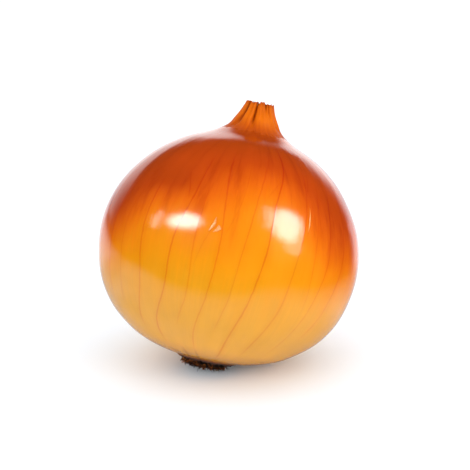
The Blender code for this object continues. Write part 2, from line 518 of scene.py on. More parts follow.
def mark_skin(shape):
    """Gives the skin its broad colour shifts, painted shade and light among them, its folds and vein
    strengths, and its vein map: veins in U, branches in V.
    """
    strengths = shape.verts.layers.float.new("vein_strength")
    branch_strengths = shape.verts.layers.float.new("branch_strength")
    tone_shade_layer = shape.verts.layers.float.new("skin_tone_and_shade")
    folds = shape.verts.layers.float.new("neck_fold")
    places = {}
    for vertex in shape.verts:
        longitude, height = longitude_of(vertex.co), vertex.co.z
        across = VEINS.across(longitude, height)
        branch = BRANCHES.across(longitude, height)
        vertex[strengths] = VEINS.strength(across, height)
        vertex[branch_strengths] = BRANCHES.strength(branch, height)
        vertex[tone_shade_layer] = tone_and_shade(longitude, height)
        vertex[folds] = neck_fold(longitude, height) / DEEPEST_FOLD
        places[vertex] = (across, branch)
    layer = shape.loops.layers.uv.new("vein_map")
    wraps = (len(VEINS.veins), len(BRANCHES.veins))
    for face in shape.faces:
        corners = [places[loop.vert] for loop in face.loops]
        for loop, corner in zip(face.loops, corners):
            place = list(corner)
            for axis, wrap in enumerate(wraps):
                if max(c[axis] for c in corners) - place[axis] > wrap / 2:
                    place[axis] += wrap
            loop[layer].uv = place


def make_skin():
    """The globe and neck in one unbroken papery skin, folded in over the rim of the neck."""
    inner = profile_through(HOLLOW, 4)
    shape = spun([*inner, *GLOBE_LINE, (0.0, -BASE_DEPTH)], ROUND_STEPS)
    mark_skin(shape)
    for face in shape.faces:
        middle = face.calc_center_median()
        ragged = DRY_EDGE[0] * noise.noise(Vector((middle.x, middle.y, 0.0)) / DRY_EDGE[1])
        face.material_index = 1 if middle.z + ragged > DRY_NECK_FROM else 0
    for vertex in shape.verts:
        vertex.co = grown(vertex.co)
    return shape


def rippled(angle, waves, seed):
    """Seamless noise round a circle, about -0.5 to 0.5."""
    return noise.noise(Vector((waves * math.cos(angle), waves * math.sin(angle), float(seed))))


def make_neck_sheath(radius, low, high, crumple, seed):
    """One dried leaf sheath inside the neck: a short crumpled tube with a torn rim."""
    rows = [low + (high - low) * row / SHEATH_ROWS for row in range(SHEATH_ROWS + 1)]
    shape = spun([(radius, height) for height in rows], SHEATH_SIDES)
    for vertex in shape.verts:
        angle = math.atan2(vertex.co.y, vertex.co.x)
        share = (vertex.co.z - low) / (high - low)
        folded = 1.0 + crumple * (rippled(angle, 1.6, seed) * 2.0 + 0.5 * rippled(angle, 5.0, seed + 3))
        flare = 1.0 + SHEATH_FLARE * share
        vertex.co.x = vertex.co.x * folded * flare + NECK_DRIFT
        vertex.co.y *= folded * flare
        broad, fine = SHEATH_TEARS
        vertex.co.z += share * (broad * rippled(angle, 2.2, seed + 7) + fine * rippled(angle, 9.0, seed + 9))
    return shape


def along_line(points, share):
    """The point a share of the way along a short list of (radius, height) points."""
    place = min(max(share, 0.0), 1.0) * (len(points) - 1)
    step = min(int(place), len(points) - 2)
    return Vector(points[step]).lerp(Vector(points[step + 1]), place - step)


def make_hem():
    """The torn lower edge of the dry skin, curling in round the root disc."""
    line = profile_through(HEM_LINE, 5)
    shape = spun([(1.0 + row / HEM_ROWS, 0.0) for row in range(HEM_ROWS + 1)], HEM_SIDES)
    broad, fine = HEM_TEARS
    for vertex in shape.verts:
        angle = math.atan2(vertex.co.y, vertex.co.x)
        share = math.hypot(vertex.co.x, vertex.co.y) - 1.0
        reach = HEM_REACH + broad * rippled(angle, 2.6, 21) + fine * rippled(angle, 11.0, 22)
        place = along_line(line, share * reach)
        flare = HEM_FLARE * share**3 * (rippled(angle, 6.0, 23) + 0.15)
        lump = HEM_LUMPS * share * rippled(angle, 4.0, 24)
        out = Vector((math.cos(angle), math.sin(angle), 0.0)) * (place.x + flare + lump)
        vertex.co = Vector((out.x, out.y, place.y - 0.2 * flare))
    bmesh.ops.recalc_face_normals(shape, faces=shape.faces)
    return shape


def make_root_disc():
    """The corky disc that the roots grew from."""
    shape = spun(profile_through(DISC_LINE, 5), DISC_SIDES)
    for vertex in shape.verts:
        radius = math.hypot(vertex.co.x, vertex.co.y)
        bumps = sum(noise.noise(vertex.co / size) * tall for size, tall in DISC_BUMPS)
        share = 1.0 if vertex.co.z < DISC_UNDERSIDE else 0.2
        vertex.co.z += bumps * smoothstep(0.0, 0.002, radius) * share
        if radius > 0.0:
            vertex.co.xy *= 1.0 + 0.05 * rippled(math.atan2(vertex.co.y, vertex.co.x), 3.0, 31)
    return shape


def root_course(chance, stance, start, heading, length, bend, steps):
    """The points along one root, which wanders as it grows and never sinks into the table."""
    point = stance @ start
    heading = (stance.to_3x3() @ heading).normalized()
    sideways = Vector([chance.uniform(-1.0, 1.0) for _ in range(3)])
    points = [point]
    for _ in range(steps):
        heading = (heading + bend * sideways / steps).normalized()
        sideways += Vector([chance.uniform(-0.8, 0.8) for _ in range(3)])
        point = point + heading * length / steps
        if point.z < ROOT_CLEARANCE:
            point.z = ROOT_CLEARANCE
            heading.z = max(heading.z, 0.0)
        points.append(point)
    return points


def make_root(points, radius, tip):
    """A tapered root: a ring drawn out from point to point along its course, closed at both ends."""
    shape = bmesh.new()
    ring = bmesh.ops.create_circle(shape, cap_ends=True, radius=radius, segments=ROOT_SIDES)["verts"]
    face = shape.faces[:][0]
    towards = (points[1] - points[0]).normalized()
    turn = towards.to_track_quat("Z", "Y").to_matrix().to_4x4()
    bmesh.ops.transform(shape, matrix=Matrix.Translation(points[0]) @ turn, verts=ring)
    for step, (before, after) in enumerate(zip(points, points[1:]), start=1):
        grown_ring = bmesh.ops.extrude_face_region(shape, geom=[face])["geom"]
        corners = [item for item in grown_ring if isinstance(item, bmesh.types.BMVert)]
        face = next(item for item in grown_ring if isinstance(item, bmesh.types.BMFace))
        heading = (after - before).normalized()
        swing = towards.rotation_difference(heading).to_matrix().to_4x4()
        now, last = (1.0 + (tip - 1.0) * place / (len(points) - 1) for place in (step, step - 1))
        taper = Matrix.Scale(now / last, 4)
        move = Matrix.Translation(after) @ swing @ taper @ Matrix.Translation(-before)
        bmesh.ops.transform(shape, matrix=move, verts=corners)
        towards = heading
    bmesh.ops.recalc_face_normals(shape, faces=shape.faces)
    return shape


def grow_root(chance, stance, hair):
    """One root from its own place on the disc, or one long hair."""
    angle = chance.uniform(0.0, math.tau)
    out = math.sqrt(chance.uniform(HAIRS_FROM if hair else 0.0, 1.0))
    outwards = Vector((math.cos(angle), math.sin(angle), 0.0))
    top = ROOT_TOPS[0] + (ROOT_TOPS[1] - ROOT_TOPS[0]) * out**6 + chance.uniform(-0.0006, 0.0)
    start = outwards * out * ROOT_SPREAD + Vector((*ROOT_MIDDLE, top))
    splay = ROOT_SPLAY * out**3 + chance.uniform(-ROOT_TANGLE["out"], ROOT_TANGLE["out"])
    around = chance.uniform(-ROOT_TANGLE["around"], ROOT_TANGLE["around"])
    around = Vector((-outwards.y, outwards.x, 0.0)) * around
    heading = outwards * splay + around + Vector((0.0, 0.0, -1.0))
    length = chance.uniform(*(HAIR_LENGTHS if hair else ROOT_LENGTHS))
    radius = HAIR_RADIUS if hair else chance.uniform(*ROOT_RADII)
    bend = chance.uniform(*ROOT_BENDS)
    steps = ROOT_STEPS["hair" if hair else "root"]
    points = root_course(chance, stance, start, heading, length, bend, steps)
    return make_root(points, radius, chance.uniform(*ROOT_TIPS))


def make_roots(stance):
    """The mat of trimmed dry roots under the disc, with a few hairs. Each root has a shade of its own."""
    chance = random.Random(SEED + 3)
    mat = bmesh.new()
    shades = mat.verts.layers.float.new("root_shade")
    holder = bpy.data.meshes.new("root_holder")
    for number in range(ROOT_COUNT + LONG_HAIRS):
        root = grow_root(chance, stance, hair=number >= ROOT_COUNT)
        before = len(mat.verts)
        root.to_mesh(holder)
        root.free()
        mat.from_mesh(holder)
        mat.verts.ensure_lookup_table()
        shade = chance.random()
        for vertex in mat.verts[before:]:
            vertex[shades] = shade
    bpy.data.meshes.remove(holder)
    press_flat(mat)
    return mat


def outline_radius(height):
    """The turned skin's radius at this height, on the globe."""
    for (radius, top), (wider, lower) in zip(GLOBE_LINE, GLOBE_LINE[1:]):
        if lower <= height <= top:
            return radius + (wider - radius) * (top - height) / (top - lower)
    return GLOBE_LINE[-1][0]


def make_flecks():
    """Small flecks of skin that have split along a vein and lifted on one side."""
    all_flecks = bmesh.new()
    holder = bpy.data.meshes.new("fleck_holder")
    for longitude, height, length, width, lift in FLECKS:
        fleck = bmesh.new()
        bmesh.ops.create_grid(fleck, x_segments=6, y_segments=16, size=0.5)
        for vertex in fleck.verts:
            across, along = vertex.co.x, vertex.co.y
            pointed = width * (1.0 - abs(2.0 * along) ** 1.6)
            up = height + along * length
            out = outline_radius(up)
            turned = math.radians(longitude + FLECK_LEAN * along)
            angle = FRONT + turned + (across + 0.5) * pointed / out
            raised = FLECK_GAP + lift * (across + 0.5) ** 2 * (1.0 - (2.0 * along) ** 2)
            surface = Vector((out * math.cos(angle), out * math.sin(angle), up))
            outwards = Vector((math.cos(angle), math.sin(angle), 0.0))
            vertex.co = grown(surface) + outwards * raised
        fleck.to_mesh(holder)
        fleck.free()
        all_flecks.from_mesh(holder)
    bpy.data.meshes.remove(holder)
    return all_flecks


# ---- Shader helpers ----------------------------------------------------------------------------------


def node(tree, kind, inputs=None, **settings):
    """Adds a shader node. inputs are values or sockets by name or number, settings its own options."""
    made = tree.nodes.new(kind)
    for name, value in settings.items():
        setattr(made, name, value)
    for key, value in (inputs or {}).items():
        if isinstance(value, bpy.types.NodeSocket):
            tree.links.new(value, made.inputs[key])
        else:
            made.inputs[key].default_value = value
    return made


def maths(tree, operation, *values, clamp=False):
    made = node(tree, "ShaderNodeMath", dict(enumerate(values)), operation=operation, use_clamp=clamp)
    return made.outputs[0]


def added(tree, first, *others):
    for other in others:
        first = maths(tree, "ADD", first, other)
    return first


def multiplied(tree, first, *others):
    for other in others:
        first = maths(tree, "MULTIPLY", first, other)
    return first


def ease(tree, value, low, high, to_low=0.0, to_high=1.0):
    """A smooth step of value from low to high."""
    made = node(
        tree,
        "ShaderNodeMapRange",
        {"Value": value, "From Min": low, "From Max": high, "To Min": to_low, "To Max": to_high},
        interpolation_type="SMOOTHSTEP",
    )
    return made.outputs["Result"]


def blended(tree, share, first, second, blend="MIX"):
    made = node(tree, "ShaderNodeMix", {0: share, 6: first, 7: second}, data_type="RGBA", blend_type=blend)
    return made.outputs[2]


def ramp(tree, value, stops):
    """A colour ramp with (position, colour) stops."""
    made = node(tree, "ShaderNodeValToRGB", {"Fac": value})
    band = made.color_ramp
    while len(band.elements) > 1:
        band.elements.remove(band.elements[-1])
    for place, (position, colour) in enumerate(stops):
        element = band.elements[0] if place == 0 else band.elements.new(position)
        element.position = position
        element.color = (*colour, 1.0)
    return made.outputs["Color"]


def clouds(tree, vector, scale, detail=3.0, roughness=0.55):
    """Noise from 0 to 1 about 0.5."""
    made = node(
        tree,
        "ShaderNodeTexNoise",
        {"Vector": vector, "Scale": scale, "Detail": detail, "Roughness": roughness},
    )
    return made.outputs["Fac"]


def scaled(tree, pattern, amount):
    """A 0 to 1 pattern made to swing about zero by this amount in all."""
    return maths(tree, "MULTIPLY", maths(tree, "SUBTRACT", pattern, 0.5), amount)


def swung(tree, middle, patterns, swings):
    """The middle value, with each named pattern swinging about it by its own amount."""
    return added(tree, middle, *[scaled(tree, patterns[name], amount) for name, amount in swings.items()])


def painted(tree, name):
    """A value that the mesh holds at each of its points."""
    return node(tree, "ShaderNodeAttribute", attribute_name=name).outputs["Fac"]


def shaded(tree, colour, shade):
    """The colour made lighter or darker."""
    return node(tree, "ShaderNodeVectorMath", {0: colour, 3: shade}, operation="SCALE").outputs[0]


def tinted(tree, colour, share, tint):
    """The colour with a share of the tint multiplied in."""
    return blended(tree, share, colour, tint, blend="MULTIPLY")


def add_bump(tree, surface, relief, distance):
    bump = node(tree, "ShaderNodeBump", {"Strength": 1.0, "Distance": distance, "Height": relief})
    tree.links.new(bump.outputs[0], surface.inputs["Normal"])


def new_group(name, inputs, outputs):
    """An empty node group with its sockets, and its input and output nodes."""
    group = bpy.data.node_groups.new(name, "ShaderNodeTree")
    for way, sockets in (("INPUT", inputs), ("OUTPUT", outputs)):
        for label, kind in sockets:
            group.interface.new_socket(label, in_out=way, socket_type=kind)
    return group, node(group, "NodeGroupInput").outputs, node(group, "NodeGroupOutput").inputs


def use_group(tree, group, inputs):
    return node(tree, "ShaderNodeGroup", inputs, node_tree=group).outputs


NUMBER, VECTOR = "NodeSocketFloat", "NodeSocketVector"
FIBRE_LENGTH = 40.0  # how often the fibres change per metre along the onion
VEIN_WOBBLE = (420.0, 0.05)  # waves per metre, and the share of a gap between veins
VEIN_HALO = 0.0016


def fibre_group():
    """Fine fibres that run along the onion from root to neck, in growing coordinates."""
    group, given, out = new_group("fibres", [("Place", VECTOR), ("Count", NUMBER)], [("Fibres", NUMBER)])
    parts = node(group, "ShaderNodeSeparateXYZ", {0: given["Place"]}).outputs
    around = maths(group, "ARCTAN2", parts["Y"], parts["X"])
    # The pattern is read on a circle, so that it has no seam where the angle jumps.
    east = multiplied(group, maths(group, "COSINE", around), given["Count"])
    north = multiplied(group, maths(group, "SINE", around), given["Count"])
    up = multiplied(group, parts["Z"], FIBRE_LENGTH)
    vector = node(group, "ShaderNodeCombineXYZ", {0: east, 1: north, 2: up}).outputs[0]
    group.links.new(clouds(group, vector, 1.0, detail=4.0, roughness=0.65), out["Fibres"])
    return group


def vein_group():
    """Lines on the whole numbers of Across. Spacing is the metres from one to the next, Width their width."""
    group, given, out = new_group(
        "vein_lines",
        [("Across", NUMBER), ("Spacing", NUMBER), ("Width", NUMBER), ("Place", VECTOR)],
        [("Line", NUMBER), ("Halo", NUMBER)],
    )
    waves, sway = VEIN_WOBBLE
    wobble = scaled(group, clouds(group, given["Place"], waves, detail=2.0), sway)
    across = added(group, given["Across"], wobble)
    off = maths(group, "SUBTRACT", across, maths(group, "ROUND", across))
    distance = maths(group, "ABSOLUTE", multiplied(group, off, given["Spacing"]))
    uneven = added(group, clouds(group, given["Place"], 150.0), 0.5)
    thick = multiplied(group, given["Width"], uneven)
    group.links.new(ease(group, maths(group, "DIVIDE", distance, thick), 1.0, 0.15), out["Line"])
    group.links.new(ease(group, distance, VEIN_HALO, 0.0), out["Halo"])
    return group


def growing_place(tree, stance):
    """Object coordinates turned and moved back to the onion's growing frame."""
    back = stance.inverted()
    coordinates = node(tree, "ShaderNodeTexCoord").outputs["Object"]
    mapping = node(tree, "ShaderNodeMapping", {"Vector": coordinates}, vector_type="POINT")
    mapping.inputs["Location"].default_value = back.to_translation()
    mapping.inputs["Rotation"].default_value = back.to_euler()
    return mapping.outputs[0]


def new_material(name):
    material = bpy.data.materials.new(name)
    material.use_nodes = True
    tree = material.node_tree
    return material, tree, tree.nodes["Principled BSDF"]


# ---- Materials ---------------------------------------------------------------------------------------

# The skin's colour up the onion: share of the way from root plate to rim, colour.
SKIN_COLOURS = [
    (0.000, (0.580, 0.230, 0.016)),
    (0.020, (0.800, 0.340, 0.022)),
    (0.060, (0.740, 0.328, 0.019)),
    (0.150, (0.650, 0.284, 0.013)),
    (0.270, (0.660, 0.262, 0.005)),
    (0.350, (0.700, 0.238, 0.001)),
    (0.405, (0.710, 0.208, 0.001)),
    (0.460, (0.710, 0.182, 0.001)),
    (0.520, (0.690, 0.144, 0.001)),
    (0.580, (0.630, 0.104, 0.001)),
    (0.640, (0.540, 0.073, 0.001)),
    (0.700, (0.445, 0.049, 0.001)),
    (0.750, (0.410, 0.045, 0.001)),
    (0.800, (0.370, 0.043, 0.001)),
    (0.860, (0.350, 0.043, 0.001)),
    (0.900, (0.480, 0.074, 0.001)),
    (0.940, (0.640, 0.130, 0.001)),
    (1.000, (0.560, 0.108, 0.001)),
]
VEIN_TINTS = ((0.90, 0.66, 0.42, 1.0), (0.86, 0.58, 0.46, 1.0))  # on the pale lower half, near the neck
VEIN_TINTS_CHANGE = (0.20, 0.60)
VEIN_KINDS = [
    # courses, which part of the vein map counts them, the strength's name, width
    (VEINS, "X", "vein_strength", 0.00040),
    (BRANCHES, "Y", "branch_strength", 0.00032),
]
HALO_SHARE = 0.20
BAND_TINT = (0.80, 0.60, 0.40, 1.0)
BAND_EDGES = (0.50, 0.68)
BANDS = {"from": 0.38, "full": 0.58, "share": 0.50}  # heights as shares of the way up the onion
# Round the root plate the skin's underside is browner: partly its own stain, partly painted shade where it
# turns down under the onion.
BROWN_AND_SHADE_TINT = (0.56, 0.34, 0.16, 1.0)
BASE_STAIN_AND_SHADE = {"radius": (0.0112, 0.0086), "height": (0.06, 0.01), "mottle": (0.30, 0.55)}
# Painted shade in the neck's folds: the deeper the fold, the darker.
FOLD_SHADE_TINT = (0.40, 0.22, 0.18, 1.0)
FOLD_SHADE_RANGE = (0.30, 1.0)  # from this share of the deepest fold
RIM_TINT = (0.80, 0.68, 0.60, 1.0)
RIM_STAIN = (0.984, 1.0)
SKIN_FIBRES = {"broad": 7.0, "middle": 26.0, "fine": 80.0}  # how finely each set divides the onion
SKIN_CLOUDS = {"patches": 24.0, "mottle": 130.0}  # how many to a metre
# How far each pattern moves the colour up or down the onion's colours, its shade and the roughness.
LEVEL_SWINGS = {"patches": 0.10, "broad": 0.13, "middle": 0.07}
SHADE_SWINGS = {"fine": 0.10, "mottle": 0.14, "middle": 0.12}
ROUGHNESS_SWINGS = {"fine": 0.08, "mottle": 0.06}
# How high each pattern stands, and the metres that 1 means.
RELIEF = {"fine": 0.10, "middle": 0.25, "mottle": 0.28, "veins": 0.12}
RELIEF_UNIT = 0.00010
SKIN_IOR = 1.5


def skin_patterns(tree, place, groups):
    """The patterns that break up the skin, each from 0 to 1: three sets of fibres, and two of clouds."""
    patterns = {name: clouds(tree, place, scale) for name, scale in SKIN_CLOUDS.items()}
    for name, count in SKIN_FIBRES.items():
        patterns[name] = use_group(tree, groups["fibres"], {"Place": place, "Count": count})["Fibres"]
    return patterns


def skin_colour(tree, height, patterns):
    """The colour at each level of the onion, which the patterns and the broad colour shifts move up and down;
    the redder shifts also darken it, painted shade on the near flanks.
    """
    skin_tone_and_shade = painted(tree, "skin_tone_and_shade")
    level = added(tree, swung(tree, height, patterns, LEVEL_SWINGS), skin_tone_and_shade)
    # Painted shade: the redder patches, on the near flanks, darken the colour.
    darker = multiplied(tree, maths(tree, "MAXIMUM", skin_tone_and_shade, 0.0), PAINTED_SHADE_OF_REDDER)
    shade = swung(tree, maths(tree, "SUBTRACT", 1.0, darker), patterns, SHADE_SWINGS)
    return shaded(tree, ramp(tree, level, SKIN_COLOURS), shade)


def vein_marks(tree, place, radius, groups):
    """Two masks: the veins' and branches' own lines, and those lines with a faint halo round them."""
    counts = node(tree, "ShaderNodeUVMap", uv_map="vein_map").outputs[0]
    counts = node(tree, "ShaderNodeSeparateXYZ", {0: counts}).outputs
    round_length = multiplied(tree, radius, math.tau)
    lines, halos = [], []
    for courses, axis, strength_name, width in VEIN_KINDS:
        strength = painted(tree, strength_name)
        spacing = maths(tree, "DIVIDE", round_length, float(len(courses.veins)))
        inputs = {"Across": counts[axis], "Spacing": spacing, "Width": width, "Place": place}
        found = use_group(tree, groups["veins"], inputs)
        lines.append(multiplied(tree, found["Line"], strength))
        halos.append(multiplied(tree, found["Halo"], strength, HALO_SHARE))
    line = maths(tree, "MAXIMUM", *lines, clamp=True)
    return line, maths(tree, "MAXIMUM", line, maths(tree, "MAXIMUM", *halos), clamp=True)


def add_stains_and_shade(tree, colour, height, radius, mottle):
    """Browner round the root plate, partly its own stain and partly painted shade on the underside; painted
    shade in the neck's folds; browner along its torn rim.
    """
    # Browner round the root plate: its own stain, with painted shade on the underside.
    base = multiplied(
        tree,
        ease(tree, radius, *BASE_STAIN_AND_SHADE["radius"]),
        ease(tree, height, *BASE_STAIN_AND_SHADE["height"]),
        ease(tree, mottle, *BASE_STAIN_AND_SHADE["mottle"], 0.7, 1.0),
    )
    colour = tinted(tree, colour, base, BROWN_AND_SHADE_TINT)
    colour = tinted(tree, colour, ease(tree, height, *RIM_STAIN), RIM_TINT)
    # Painted shade in the neck's folds.
    return tinted(tree, colour, ease(tree, painted(tree, "neck_fold"), *FOLD_SHADE_RANGE), FOLD_SHADE_TINT)


def skin_material(name, stance, groups, gloss, roughness):
    """Onion skin: pale straw at the root, orange over the globe, red-brown at the shoulders."""
    material, tree, surface = new_material(name)
    place = growing_place(tree, stance)
    height = node(tree, "ShaderNodeSeparateXYZ", {0: place}).outputs["Z"]
    height = maths(tree, "DIVIDE", height, RIM[1])
    flat_place = node(tree, "ShaderNodeVectorMath", {0: place, 1: (1.0, 1.0, 0.0)}, operation="MULTIPLY")
    radius = node(tree, "ShaderNodeVectorMath", {0: flat_place.outputs[0]}, operation="LENGTH")
    radius = radius.outputs["Value"]
    patterns = skin_patterns(tree, place, groups)

    colour = skin_colour(tree, height, patterns)
    # Soft darker bands run up the upper half.
    bands = ease(tree, patterns["broad"], *BAND_EDGES)
    upper = ease(tree, height, BANDS["from"], BANDS["full"], 0.0, BANDS["share"])
    colour = tinted(tree, colour, multiplied(tree, bands, upper), BAND_TINT)
    veins, marked = vein_marks(tree, place, radius, groups)
    vein_tint = blended(tree, ease(tree, height, *VEIN_TINTS_CHANGE), *VEIN_TINTS)
    colour = tinted(tree, colour, marked, vein_tint)
    colour = add_stains_and_shade(tree, colour, height, radius, patterns["mottle"])
    tree.links.new(colour, surface.inputs["Base Color"])

    rough = swung(tree, roughness, patterns, ROUGHNESS_SWINGS)
    tree.links.new(rough, surface.inputs["Roughness"])
    patterns["veins"] = veins
    relief = [multiplied(tree, patterns[name], share) for name, share in RELIEF.items()]
    add_bump(tree, surface, added(tree, *relief), RELIEF_UNIT)
    surface.inputs["IOR"].default_value = SKIN_IOR
    surface.inputs["Specular IOR Level"].default_value = gloss
    return material


def papery_material(name, stance, groups, stops, span, roughness):
    """Dry papery skin, coloured by height over the span, with fibres along it."""
    material, tree, surface = new_material(name)
    place = growing_place(tree, stance)
    height = node(tree, "ShaderNodeSeparateXYZ", {0: place}).outputs["Z"]
    mottle = clouds(tree, place, 500.0, detail=4.0)
    fibres = use_group(tree, groups["fibres"], {"Place": place, "Count": 60.0})["Fibres"]
    level = maths(tree, "DIVIDE", maths(tree, "SUBTRACT", height, span[0]), span[1] - span[0])
    level = added(tree, level, scaled(tree, mottle, 0.5))
    shade = added(tree, 1.0, scaled(tree, fibres, 0.7))
    tree.links.new(shaded(tree, ramp(tree, level, stops), shade), surface.inputs["Base Color"])
    tree.links.new(added(tree, roughness, scaled(tree, mottle, 0.3)), surface.inputs["Roughness"])
    add_bump(tree, surface, added(tree, fibres, mottle), 0.00008)
    return material


# The torn hem goes from orange-brown at its top to near black at its lowest, inner edge: partly its own
# darker brown, partly painted shade where it tucks under the onion.
HEM_COLOURS = [
    (0.00, (0.018, 0.006, 0.003)),
    (0.35, (0.060, 0.016, 0.005)),
    (0.60, (0.160, 0.042, 0.007)),
    (0.85, (0.330, 0.110, 0.012)),
    (1.00, (0.450, 0.180, 0.018)),
]
SHEATH_COLOURS = [
    (0.00, (0.220, 0.090, 0.030)),
    (0.50, (0.420, 0.190, 0.060)),
    (0.85, (0.500, 0.240, 0.080)),
    (1.00, (0.280, 0.100, 0.030)),
]
FLECK_COLOURS = [(0.00, (0.780, 0.270, 0.030)), (1.00, (0.740, 0.200, 0.015))]
FLECK_SPAN = (0.03, 0.05)
ROOT_COLOURS = [
    (0.00, (0.006, 0.003, 0.002)),
    (0.45, (0.014, 0.005, 0.002)),
    (0.68, (0.080, 0.021, 0.005)),
    (0.88, (0.300, 0.090, 0.017)),
    (1.00, (0.560, 0.240, 0.060)),
]


def root_material(name):
    """Dry roots: near black to tan, each root in its own shade, dusty and matt."""
    material, tree, surface = new_material(name)
    place = node(tree, "ShaderNodeTexCoord").outputs["Object"]
    grime = clouds(tree, place, 900.0, detail=4.0)
    level = added(tree, painted(tree, "root_shade"), scaled(tree, grime, 0.7))
    tree.links.new(ramp(tree, level, ROOT_COLOURS), surface.inputs["Base Color"])
    tree.links.new(added(tree, 0.8, scaled(tree, grime, 0.3)), surface.inputs["Roughness"])
    surface.inputs["Specular IOR Level"].default_value = 0.1
    add_bump(tree, surface, grime, 0.00015)
    return material


# ---- Stage: sheet, lights and camera ------------------------------------------------------------------

SHEET = ((-0.60, -0.60), (0.60, 0.80))  # the white sheet's left front and right back corners
SHEET_COLOUR = (0.83, 0.90, 0.97, 1.0)
SHEET_LIFT = 0.06  # the sheet is overexposed by this much
# How reflections find the sheet: it fades into the dark room on three sides, further out to the right when
# it is far behind the onion, and it is dimmer just behind and beside the onion.
SHEET_SHOWN = {"front": (-0.155, -0.060), "left": (-0.42, -0.16), "right": (0.125, 0.055)}
SHEET_WIDER = (0.05, 0.8)  # from how far behind, and by how much of the distance
SHEET_DARK = (0.01, 0.01, 0.01, 1.0)
SHEET_SHADOW = 0.38
SHADOW_BEHIND = ((0.0, 0.03), (0.11, 0.06))
SHADOW_ROUND = {"middle": (-0.01, 0.0, 0.0), "reach": (0.080, 0.045), "from": (-0.030, -0.010)}
BOXES = {
    # name: (azimuth from +Y towards +X, elevation, roll, width, height,
    #        brightness in glossy reflections, brightness on matt surfaces)
    "left_box": (-134.5, 39.9, 17.0, 0.42, 0.18, 11.0, 0.0),
    "left_glow": (-134.8, 39.7, 17.0, 0.58, 0.27, 6.5, 0.0),
    "left_strip": (-105.0, 30.5, 10.0, 0.12, 0.26, 4.5, 0.0),
    "right_box": (114.0, 32.0, 46.0, 0.38, 0.31, 7.5, 0.0),
    "right_glow": (114.0, 31.4, 46.0, 0.48, 0.42, 5.0, 0.0),
    "right_tail": (118.0, 14.5, 0.0, 0.25, 0.24, 2.8, 0.0),
    "small_panel": (126.5, 43.0, -41.0, 0.065, 0.36, 6.5, 0.0),
    "left_fill": (-152.0, 26.0, 0.0, 0.50, 0.50, 0.0, 1.5),
    "right_fill": (126.0, 15.0, 0.0, 0.50, 0.50, 0.0, 3.4),
}
BOX_DISTANCE = 0.90
# The backdrop's two parts, by where each edge begins and is done: azimuths, and elevations at the top.
BACKDROP = [
    {"left": (-50.0, -24.0), "right": (42.0, 18.0), "top": (19.5, 14.0)},
    {"left": (-12.0, -5.0), "right": (16.0, 8.0), "top": (29.0, 23.0)},
]
BACKDROP_CHANGE = (-30.0, 5.0)  # azimuths between which its brightness changes
BACKDROP_BRIGHTNESS = (1.12, 1.85)
ROOM_BRIGHTNESS = 0.02  # in reflections
AIR_BRIGHTNESS = 1.18  # on matt surfaces
WHITE = (1.0, 1.0, 1.0, 1.0)


def direction(azimuth, elevation):
    """The unit vector at this compass angle (degrees from +Y towards +X) and height."""
    azimuth, elevation = math.radians(azimuth), math.radians(elevation)
    level = math.cos(elevation)
    return Vector((math.sin(azimuth) * level, math.cos(azimuth) * level, math.sin(elevation)))


def add_soft_box(name, azimuth, elevation, roll, width, height, gloss, matt):
    """A soft box: a lamp seen in glossy reflections, or one lighting matt surfaces, or both in one place."""
    towards = direction(azimuth, elevation)
    turn = towards.to_track_quat("Z", "Y").to_matrix() @ Matrix.Rotation(math.radians(roll), 3, "Z")
    for use, brightness in (("gloss", gloss), ("matt", matt)):
        if not brightness:
            continue
        light = bpy.data.lights.new(f"{name}_{use}", "AREA")
        light.shape = "ELLIPSE"
        light.size = width
        light.size_y = height
        light.energy = brightness * math.pi * width * height
        lamp = bpy.data.objects.new(f"{name}_{use}", light)
        lamp.location = (CAD_BOX[0] + CAD_BOX[1]) / 2 + towards * BOX_DISTANCE
        lamp.rotation_euler = turn.to_euler()
        lamp.visible_camera = False
        lamp.visible_glossy = use == "gloss"
        lamp.visible_diffuse = use == "matt"
        bpy.context.scene.collection.objects.link(lamp)


def radians(degrees):
    return [math.radians(angle) for angle in degrees]


def backdrop_part(tree, azimuth, rise, edges):
    """A mask for one part of the backdrop, with soft edges to the left, to the right and at the top."""
    top = [math.sin(angle) for angle in radians(edges["top"])]
    left = ease(tree, azimuth, *radians(edges["left"]))
    return multiplied(tree, left, ease(tree, azimuth, *radians(edges["right"])), ease(tree, rise, *top))


def add_world():
    """White to the camera. Reflections find a dim room with a bright backdrop behind the onion."""
    world = bpy.data.worlds.new("studio")
    world.use_nodes = True
    bpy.context.scene.world = world
    tree = world.node_tree
    tree.nodes.clear()
    towards = node(tree, "ShaderNodeTexCoord").outputs["Generated"]
    parts = node(tree, "ShaderNodeSeparateXYZ", {0: towards}).outputs
    azimuth = maths(tree, "ARCTAN2", parts["X"], parts["Y"])
    shown = [backdrop_part(tree, azimuth, parts["Z"], edges) for edges in BACKDROP]
    strength = ease(tree, azimuth, *radians(BACKDROP_CHANGE), *BACKDROP_BRIGHTNESS)
    paths = node(tree, "ShaderNodeLightPath").outputs
    air = multiplied(tree, paths["Is Diffuse Ray"], AIR_BRIGHTNESS)
    backdrop = multiplied(tree, maths(tree, "MAXIMUM", *shown), strength)
    glow = added(tree, backdrop, ROOM_BRIGHTNESS, air)
    room = node(tree, "ShaderNodeBackground", {"Color": WHITE, "Strength": glow}).outputs[0]
    seen = node(tree, "ShaderNodeBackground", {"Color": WHITE, "Strength": 1.0}).outputs[0]
    mixed = node(tree, "ShaderNodeMixShader", {0: paths["Is Camera Ray"], 1: room, 2: seen})
    node(tree, "ShaderNodeOutputWorld", {"Surface": mixed.outputs[0]})


